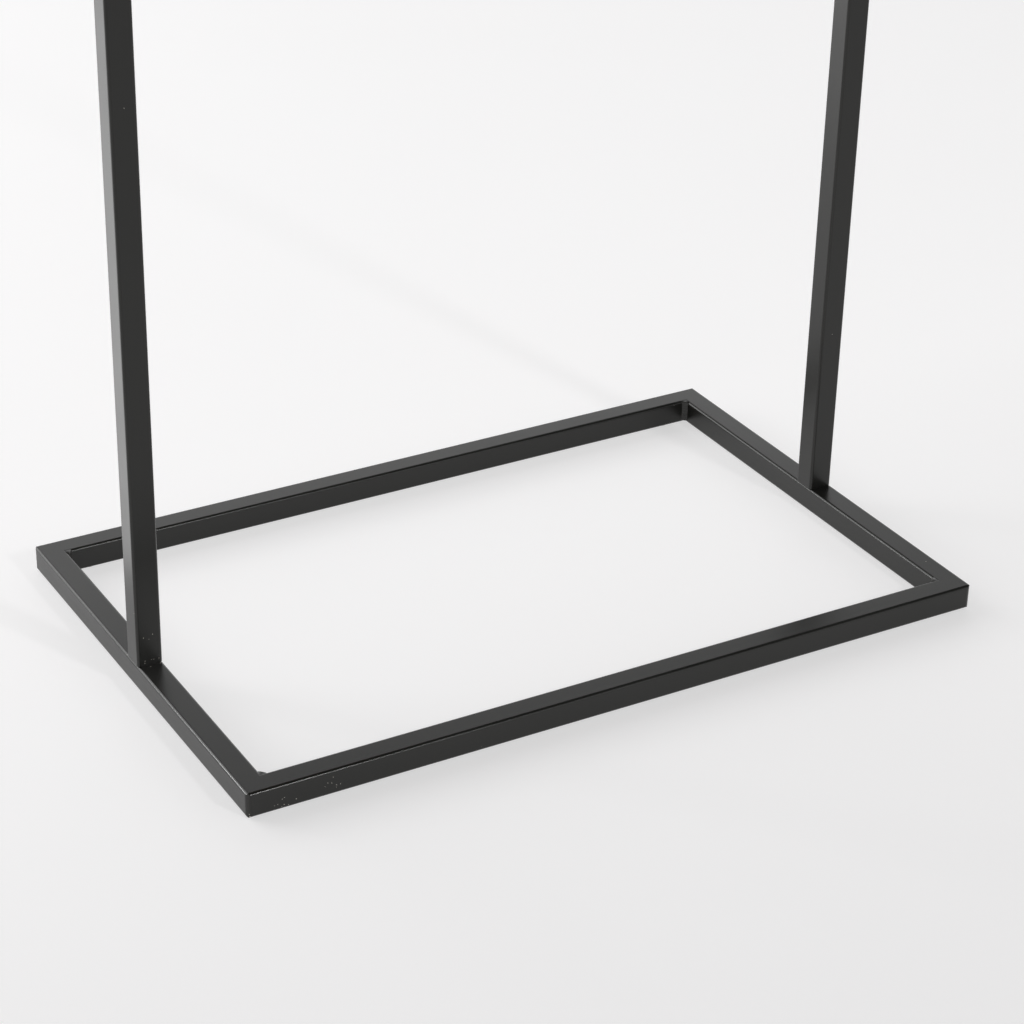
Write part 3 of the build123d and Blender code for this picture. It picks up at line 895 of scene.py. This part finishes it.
        # The upper end stays flush and flat.
        below = put(tree, MATH, (given["Top"], up), operation="SUBTRACT")
        start, full = self.flat_end
        fade = put(tree, RANGE, {"Value": below, "From Min": start, "From Max": full})
        depth = put(tree, MATH, (pressed, fade), operation="MULTIPLY")
        normal = put(tree, "GeometryNodeInputNormal")
        push = put(tree, VECTOR, {0: normal, "Scale": depth}, operation="SCALE")
        return put(tree, "GeometryNodeSetPosition", {"Geometry": solid, "Offset": push})


@dataclass
class Uprights:
    """Two tubes on the side rails, with the hardware that holds them.

    Attributes:
        coated: the tubes and the plates in their feet.
    """

    coated: tuple[str, ...] = ("left_upright", "right_upright", "left_foot_plate", "right_foot_plate")

    def make(self) -> None:
        """Dress the tubes, plates, bolts and caps."""
        for node in self.coated:
            dress_node(node, POWDER)
        dress_node("foot_bolts", ZINC)
        dress_node("foot_washers", ZINC)
        dress_node("left_top_cap", CAP_PLASTIC)
        dress_node("right_top_cap", CAP_PLASTIC)


@dataclass
class CrossScrews:
    """A pair of button-head screws, one through each upright into a bar.

    Attributes:
        node: the node that the pair replaces.
        name: the pair's name.
        head_radius: radius of the domed head.
        head_height: height of the head.
        rim_height: height of the rim under the dome.
        rim_break: height of the broken edge at the seat.
        seat: radius of the seat, as a share of the head's.
        crown_radius: radius of the flat crown.
        bulge: power that shapes the dome; lower is fuller.
        dome_steps: steps up the dome.
        shank_radius: radius of the shank.
        point: radius at the shank's end, as a share of the shank's.
        point_length: length of the shank's pointed end.
        flats: size of the hexagon socket.
        socket_depth: depth of the socket.
        lead_in: size and depth of the socket's mouth, the size as a share of the socket's.
        drill: size and depth of the drilled point below the socket, the size as a share too.
        crease: edges that turn more than this many degrees stay sharp.
        segments: points round the head, a multiple of 6.
    """

    node: str
    name: str
    head_radius: float = 5.25 * MM
    head_height: float = 3.3 * MM
    rim_height: float = 0.7 * MM
    rim_break: float = 0.22 * MM
    seat: float = 0.985
    crown_radius: float = 2.9 * MM
    bulge: float = 0.9
    dome_steps: int = 8
    shank_radius: float = 3.0 * MM
    point: float = 0.72
    point_length: float = 0.9 * MM
    flats: float = 4.0 * MM
    socket_depth: float = 2.0 * MM
    lead_in: tuple[float, float] = (1.14, 0.3 * MM)
    drill: tuple[float, float] = (0.3, 0.35 * MM)
    crease: float = 32.0
    segments: int = 48

    def make(self) -> None:
        """Build one screw, copy it to both sides and set it in place."""
        low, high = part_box(self.node)
        face = high.x - self.head_height
        tree, given = start_tree("screw on each side", "Face", "Height")
        left = put(tree, MATH, (given["Face"], -1.0), operation="MULTIPLY")
        apart = put(tree, MATH, (given["Face"], 2.0), operation="MULTIPLY")
        start = put(tree, XYZ, {0: left, 2: given["Height"]})
        step = put(tree, XYZ, {0: apart})
        sides = put(tree, "GeometryNodeMeshLine", {"Count": 2, "Start Location": start, "Offset": step})
        # The left screw is turned to face left.
        index = put(tree, "GeometryNodeInputIndex")
        half_turn = put(tree, MATH, (index, math.pi, math.pi), operation="MULTIPLY_ADD")
        turn = put(tree, XYZ, {2: half_turn})
        spread = {"Points": sides, "Instance": given["Geometry"], "Rotation": turn}
        end_tree(tree, given, put(tree, "GeometryNodeInstanceOnPoints", spread))
        screws = self.screw(face - self.shank_end())
        run_tree(screws, tree, BLACKED, {"Face": face, "Height": (low.z + high.z) / 2})
        place_piece(screws, "frame", "black_screw", self.node)

    def shank_end(self) -> float:
        """Where the right-hand shank ends, from the node's own vertices."""
        return min(v.co.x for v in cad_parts[self.node].data.vertices if v.co.x > 0)

    def screw(self, shank: float) -> bpy.types.Object:
        """One screw along +X with its seat on the origin.

        Args:
            shank: length of the shank behind the seat.

        Returns:
            The screw.
        """
        profile = [(-shank, self.shank_radius * self.point), (self.point_length - shank, self.shank_radius)]
        profile += [(0.0, self.shank_radius), (0.0, self.head_radius * self.seat)]
        profile += [(self.rim_break, self.head_radius)]
        for step in range(self.dome_steps + 1):
            share = step / self.dome_steps
            radius = self.head_radius + (self.crown_radius - self.head_radius) * share
            rise = math.sin(share * math.pi / 2) ** self.bulge
            profile.append((self.rim_height + (self.head_height - self.rim_height) * rise, radius))
        loops = [self.ring(x, radius) for x, radius in profile]
        mouth, mouth_depth = self.lead_in
        tip, tip_depth = self.drill
        bottom = self.socket_depth
        socket = ((0.0, mouth), (mouth_depth, 1.0), (bottom, 1.0), (bottom + tip_depth, tip))
        loops += [self.hexagon(self.head_height - depth, scale) for depth, scale in socket]
        build = bmesh.new()
        loft(build, loops)
        piece = piece_from(build, self.name, BLACKED)
        piece.data.set_sharp_from_angle(angle=math.radians(self.crease))
        return piece

    def ring(self, x: float, radius: float) -> list[Point]:
        """A circle about the X axis."""
        turn = 2 * math.pi / self.segments
        return [(x, radius * math.cos(i * turn), radius * math.sin(i * turn)) for i in range(self.segments)]

    def hexagon(self, x: float, scale: float) -> list[Point]:
        """A hexagon about the X axis, with as many points as a circle."""
        points = []
        for i in range(self.segments):
            angle = 2 * math.pi * i / self.segments
            within = (angle + math.pi / 6) % (math.pi / 3) - math.pi / 6
            radius = scale * self.flats / 2 / math.cos(within)
            points.append((x, radius * math.cos(angle), radius * math.sin(angle)))
        return points


@dataclass
class TopBar:
    """Crossbar between the uprights, and the screws that hold it."""

    def make(self) -> None:
        """Dress the tube and its end plates, and set the screws."""
        dress_node("top_crossbar", POWDER)
        dress_node("crossbar_end_plates", POWDER)
        CrossScrews("crossbar_screws", "crossbar_button_screws").make()


@dataclass
class TrouserBar:
    """Round oak bar with brass inserts, held by a screw at each end."""

    def make(self) -> None:
        """Dress the bar and inserts, and set the screws."""
        dress_node("trouser_bar", OAK_BAR)
        dress_node("trouser_bar_inserts", BRASS)
        CrossScrews("trouser_bar_screws", "trouser_bar_button_screws").make()


@dataclass
class JacketHanger:
    """Shaped oak yoke on a steel stem that turns in the crossbar.

    Attributes:
        axis_below: how far the yoke's axis lies below the flat land on its top.
        drop: how far the shoulder tips lie below the middle.
        bend: how soon the shoulders turn down from the middle.
        forward: how far the tips come forward.
        half_depth: half the section's depth in the middle and at the tips.
        half_height: half the section's height in the middle and at the tips.
        depth_growth: power with which the depth grows towards the tips.
        taper_start: where the tips start to close, as a share of the half span.
        squareness: power of the section's superellipse; 2 is an ellipse.
        stations: steps along the yoke.
        points: points round a section.
    """

    axis_below: float = 16.0 * MM
    drop: float = 76.0 * MM
    bend: float = 0.28
    forward: float = 26.0 * MM
    half_depth: tuple[float, float] = (12.0 * MM, 26.0 * MM)
    half_height: tuple[float, float] = (18.0 * MM, 12.0 * MM)
    depth_growth: float = 1.5
    taper_start: float = 0.84
    squareness: float = 2.5
    stations: int = 64
    points: int = 40

    def make(self) -> None:
        """Dress the stem and its hardware, and shape the yoke."""
        dress_node("hanger_stem", STAINLESS)
        dress_node("hanger_rosette", STAINLESS)
        dress_node("hanger_stem_insert", BRASS)
        dress_node("hanger_washer", ZINC)
        dress_node("hanger_locknut", ZINC)
        dress_node("hanger_bush", NYLON)
        place_piece(self.yoke(), "hanger", "oak", "hanger_yoke")

    def section(self, station: float, half_span: float, land: float) -> list[Point]:
        """Superellipse section of the yoke at a fraction of its half span.

        Args:
            station: from -1 at the left tip to 1 at the right tip.
            half_span: half the yoke's span.
            land: height of the flat land on top.

        Returns:
            The section's loop.
        """
        reach = abs(station)
        full = math.sqrt(1 + self.bend**2) - self.bend
        fall = (math.sqrt(reach**2 + self.bend**2) - self.bend) / full
        depth = self.half_depth[0] + (self.half_depth[1] - self.half_depth[0]) * reach**self.depth_growth
        height = self.half_height[0] + (self.half_height[1] - self.half_height[0]) * reach
        if reach > self.taper_start:
            # The tip stays just open, so that its last section isn't a single point.
            tip = min(0.999, (reach - self.taper_start) / (1 - self.taper_start))
            taper = math.sqrt(1 - tip**2)
            depth, height = depth * taper, height * taper
        x, y, z = station * half_span, -self.forward * reach**2, land - self.axis_below - self.drop * fall
        power = 2 / self.squareness
        loop = []
        for i in range(self.points):
            angle = 2 * math.pi * i / self.points
            cosine, sine = math.cos(angle), math.sin(angle)
            across = depth * math.copysign(abs(cosine) ** power, cosine)
            rise = height * math.copysign(abs(sine) ** power, sine)
            loop.append((x, y + across, min(z + rise, land)))
        return loop

    def yoke(self) -> bpy.types.Object:
        """The yoke, as one smooth closed mesh."""
        low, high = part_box("hanger_yoke")
        half_span = (high.x - low.x) / 2
        # The rosette sits on the flat land.
        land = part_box("hanger_rosette")[0].z
        # Stations crowd towards the tips, where the shape closes.
        places = [math.sin(math.pi / 2 * (2 * i / self.stations - 1)) for i in range(self.stations + 1)]
        build = bmesh.new()
        loft(build, [self.section(place, half_span, land) for place in places])
        return piece_from(build, "jacket_yoke", OAK_YOKE)


@dataclass
class CatchAllTray:
    """Milled oak tray with a stitched leather liner in its dish.

    Attributes:
        corner: corner radius of the liner.
        least_corner: smallest corner radius of an outline that is drawn in.
        corner_steps: steps in each corner.
        side_mm: the liner's side, as insets from its edge and heights over its underside.
        shoulder_mm: its rounded shoulder, as insets from its edge and depths under its top.
        channel: depth of the pressed channel for the seam.
        seam_inset: distance of the seam from the liner's edge.
        press_mm: section of the channel, as places across the seam and depths as shares of its own.
        seam_corner: corner radius of the seam.
        stitch_pitch: distance from one stitch to the next.
        stitch_length: length of a stitch.
        stitch_lift: how far a stitch lies above the bottom of the channel.
        stitch_dip: how far the ends of a stitch lie below its middle.
        stitch_end: thickness at the ends of a stitch, as a share of the thread's.
        slant: degrees that a stitch is turned from the seam.
        thread: thickness of the thread.
        thread_sides: points round the thread.
        thread_steps: steps along a stitch.
    """

    corner: float = 5.0 * MM
    least_corner: float = 0.6 * MM
    corner_steps: int = 8
    side_mm: tuple[tuple[float, float], ...] = ((0.6, 0.0), (0.1, 0.3), (0.0, 0.8))
    shoulder_mm: tuple[tuple[float, float], ...] = ((0.12, 0.35), (0.5, 0.1), (1.2, 0.0))
    channel: float = 0.35 * MM
    seam_inset: float = 5.0 * MM
    press_mm: tuple[tuple[float, float], ...] = (
        (-0.9, 0.0), (-0.4, 0.7), (0.0, 1.0), (0.4, 0.7), (0.9, 0.0), (3.0, 0.0),
    )
    seam_corner: float = 3.0 * MM
    stitch_pitch: float = 4.2 * MM
    stitch_length: float = 3.1 * MM
    stitch_lift: float = 0.1 * MM
    stitch_dip: float = 0.28 * MM
    stitch_end: float = 0.25
    slant: float = 12.0
    thread: float = 0.75 * MM
    thread_sides: int = 8
    thread_steps: int = 6

    def make(self) -> None:
        """Dress the tray, lay the liner and sew its border."""
        dress_node("tray_body", OAK_TRAY)
        low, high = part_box("tray_liner")
        place_piece(self.liner(low, high), "tray", "leather", "tray_liner")
        place_piece(self.stitches(low, high), "tray", "leather")

    def outline(self, low: Vector, high: Vector, inset: float, z: float) -> list[Point]:
        """The liner's outline drawn in by an inset, at a height."""
        length, depth = high.x - low.x - 2 * inset, high.y - low.y - 2 * inset
        corner = max(self.corner - inset, self.least_corner)
        return [(x, y, z) for x, y in rounded_rectangle(length, depth, corner, self.corner_steps)]

    def liner(self, low: Vector, high: Vector) -> bpy.types.Object:
        """Leather pad with rounded edges and a pressed channel for the seam."""
        levels = [(inset * MM, low.z + rise * MM) for inset, rise in self.side_mm]
        levels += [(inset * MM, high.z - depth * MM) for inset, depth in self.shoulder_mm]
        for place, share in self.press_mm:
            levels.append((self.seam_inset + place * MM, high.z - share * self.channel))
        build = bmesh.new()
        loft(build, [self.outline(low, high, inset, z) for inset, z in levels])
        return piece_from(build, "leather_liner", LEATHER)

    def stitches(self, low: Vector, high: Vector) -> bpy.types.Object:
        """A row of slanted stitches that follows the pressed channel."""
        numbers = {
            "Length": high.x - low.x - 2 * self.seam_inset,
            "Depth": high.y - low.y - 2 * self.seam_inset,
            "Corner": self.seam_corner,
            "Height": high.z - self.channel + self.stitch_lift,
            "Pitch": self.stitch_pitch,
            "Slant": math.radians(self.slant),
        }
        tree, given = start_tree("saddle stitch", *numbers)
        sizes = {"Width": given["Length"], "Height": given["Depth"]}
        seam = put(tree, "GeometryNodeCurvePrimitiveQuadrilateral", sizes)
        bend = {"Curve": seam, "Radius": given["Corner"], "Count": self.corner_steps}
        rounded = put(tree, "GeometryNodeFilletCurve", bend, mode="POLY")
        pitch = {"Curve": rounded, "Length": given["Pitch"]}
        spaced = put(tree, "GeometryNodeCurveToPoints", pitch, mode="LENGTH")
        lift = put(tree, XYZ, {2: given["Height"]})
        raised = put(tree, "GeometryNodeSetPosition", {"Geometry": spaced, "Offset": lift})
        ahead = {"Vector": spaced.outputs["Tangent"]}
        heading = put(tree, "FunctionNodeAlignRotationToVector", ahead, axis="X")
        lean = {"Rotation": heading, "Rotate By": put(tree, XYZ, {2: given["Slant"]})}
        turned = put(tree, "FunctionNodeRotateRotation", lean, rotation_space="LOCAL")
        spread = {"Points": raised, "Instance": given["Geometry"], "Rotation": turned}
        end_tree(tree, given, put(tree, "GeometryNodeInstanceOnPoints", spread))
        stitches = self.stitch_blank()
        run_tree(stitches, tree, THREAD, numbers)
        return stitches

    def stitch_blank(self) -> bpy.types.Object:
        """One stitch along X: a short rounded length of thread that dips at both ends."""
        turn = 2 * math.pi / self.thread_sides
        loops = []
        for step in range(self.thread_steps + 1):
            share = 2 * step / self.thread_steps - 1
            radius = self.thread / 2 * max(self.stitch_end, math.sqrt(max(0.0, 1 - share**4)))
            x, dip = self.stitch_length / 2 * share, self.stitch_dip * share**2
            angles = [i * turn for i in range(self.thread_sides)]
            loops.append([(x, radius * math.cos(angle), radius * math.sin(angle) - dip) for angle in angles])
        build = bmesh.new()
        loft(build, loops)
        return piece_from(build, "liner_stitches", THREAD)


# ---------------------------------------------------------------------------------------------
# Studio
# ---------------------------------------------------------------------------------------------


@dataclass(frozen=True)
class Softbox:
    """A rectangular soft light.

    Attributes:
        name: the light's name.
        place: its centre, in metres.
        aim: the point that it faces.
        size: width and height.
        power: its power in watts.
    """

    name: str
    place: Point
    aim: Point
    size: tuple[float, float]
    power: float

    def make(self) -> None:
        """Hang the light."""
        light = bpy.data.lights.new(self.name, "AREA")
        light.shape = "RECTANGLE"
        light.size, light.size_y = self.size
        light.energy = self.power
        holder = bpy.data.objects.new(self.name, light)
        bpy.context.scene.collection.objects.link(holder)
        holder.location = self.place
        facing = Vector(self.aim) - Vector(self.place)
        holder.rotation_euler = facing.to_track_quat("-Z", "Y").to_euler()
        holder.visible_camera = False


@dataclass(frozen=True)
class Camera:
    """The camera and its lens.

    Attributes:
        place: the camera, in metres.
        azimuth: degrees that it looks to the right of +Y.
        below: degrees that it looks down.
        roll: degrees that it is turned about its own line of sight.
        lens: focal length in millimetres.
        sensor: width of the sensor in millimetres.
        shift: lens shift, as shares of the picture's width.
        clip: the nearest and the farthest distance that it sees.
    """

    place: Point = (-0.97504, -1.68086, 1.11844)
    azimuth: float = 28.533
    below: float = 28.761
    roll: float = 0.385
    lens: float = 99.71
    sensor: float = 36.0
    shift: tuple[float, float] = (0.0801, 0.0176)
    clip: tuple[float, float] = (0.05, 100.0)

    def make(self) -> None:
        """Set the camera up and make it the scene's own."""
        data = bpy.data.cameras.new("camera")
        data.sensor_width, data.lens = self.sensor, self.lens
        data.shift_x, data.shift_y = self.shift
        data.clip_start, data.clip_end = self.clip
        camera = bpy.data.objects.new("camera", data)
        bpy.context.scene.collection.objects.link(camera)
        turn, tilt = math.radians(self.azimuth), math.radians(self.below)
        ahead = Vector((math.sin(turn) * math.cos(tilt), math.cos(turn) * math.cos(tilt), -math.sin(tilt)))
        level = ahead.cross(Vector((0, 0, 1))).normalized()
        upright = level.cross(ahead)
        lean = math.radians(self.roll)
        right = level * math.cos(lean) + upright * math.sin(lean)
        up = upright * math.cos(lean) - level * math.sin(lean)
        axes = Matrix((right, up, -ahead)).transposed()
        camera.matrix_world = Matrix.Translation(self.place) @ axes.to_4x4()
        bpy.context.scene.camera = camera


@dataclass(frozen=True)
class Studio:
    """Pale floor, softboxes and the white room around them.

    Attributes:
        floor_size: length of the floor's sides.
        wall: brightness of the walls.
        ceiling: brightness of the ceiling, as a share of the walls'.
        wall_top: where the walls end and the ceiling starts, as heights on a unit sphere.
        bright_side: the way to the brighter side of the room.
        bright_from: cosine of the widest angle to that way at which the room is brighter.
        sides: brightness of the dimmer and of the brighter side.
        boxes: the lights.
    """

    floor_size: float = 60.0
    wall: float = 1.65
    ceiling: float = 0.12
    wall_top: tuple[float, float] = (0.42, 0.62)
    bright_side: Point = (-0.26, 0.966, 0.0)
    bright_from: float = 0.3
    sides: tuple[float, float] = (0.46, 1.36)
    boxes: tuple[Softbox, ...] = (
        Softbox("key softbox", (-1.7, 2.3, 2.1), (0.0, 0.0, 0.3), (2.4, 2.4), 36.0),
        Softbox("front softbox", (0.79, -2.72, 1.81), (0.0, 0.0, 0.1), (0.2, 0.3), 22.0),
        Softbox("side softbox", (-2.30, 2.26, 0.98), (0.0, 0.0, 0.1), (0.3, 0.4), 9.0),
        Softbox("lit card on the floor", (-1.01, 1.05, 0.004), (-1.01, 1.05, 3.0), (1.28, 1.8), 9.5),
    )

    def make(self) -> None:
        """Lay the floor, hang the lights and colour the room."""
        half = self.floor_size / 2
        build = bmesh.new()
        corners = ((-half, -half), (half, -half), (half, half), (-half, half))
        build.faces.new([build.verts.new((x, y, 0.0)) for x, y in corners])
        # The floor carries a painted glow, so its shade is lifted without a lamp.
        piece_from(build, "floor", PaleFloor("floor, matt white, painted glow"), smooth=False)
        for box in self.boxes:
            box.make()
        self.room()
        look = bpy.context.scene.view_settings
        look.view_transform, look.look = "Standard", "None"
        look.exposure, look.gamma = 0.0, 1.0

    def room(self) -> None:
        """White walls all round, brighter on one side, and a dimmer ceiling."""
        world = bpy.data.worlds.new("room")
        world.use_nodes = True
        tree = world.node_tree
        tree.nodes.clear()
        way = put(tree, COORDINATES).outputs["Generated"]
        height = put(tree, "ShaderNodeSeparateXYZ", (way,)).outputs[2]
        white, dim = grey(1.0), grey(self.ceiling)
        walls_end, ceiling_starts = self.wall_top
        shades = ((0.0, white), (walls_end, white), (ceiling_starts, dim), (1.0, dim))
        shade = put(tree, "ShaderNodeValToRGB", {"Fac": height}, shades)
        facing = put(tree, VECTOR, (way, self.bright_side), operation="DOT_PRODUCT").outputs["Value"]
        dimmer, brighter = self.sides
        reach = {"Value": facing, "From Min": self.bright_from, "To Min": dimmer, "To Max": brighter}
        level = put(tree, MATH, (put(tree, RANGE, reach), self.wall), operation="MULTIPLY")
        lit = put(tree, VECTOR, {0: shade, "Scale": level}, operation="SCALE")
        glow = put(tree, "ShaderNodeBackground", {"Color": lit, "Strength": 1.0})
        put(tree, "ShaderNodeOutputWorld", {"Surface": glow})
        bpy.context.scene.world = world


def main() -> None:
    logging.basicConfig(level=logging.INFO, format="%(name)s: %(message)s")
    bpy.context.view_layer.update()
    Camera().make()
    for assembly in (FloorFrame(), Uprights(), TopBar(), TrouserBar(), JacketHanger(), CatchAllTray()):
        assembly.make()
        LOG.info("%s done", type(assembly).__name__)
    Studio().make()


if __name__ == "__main__":
    main()
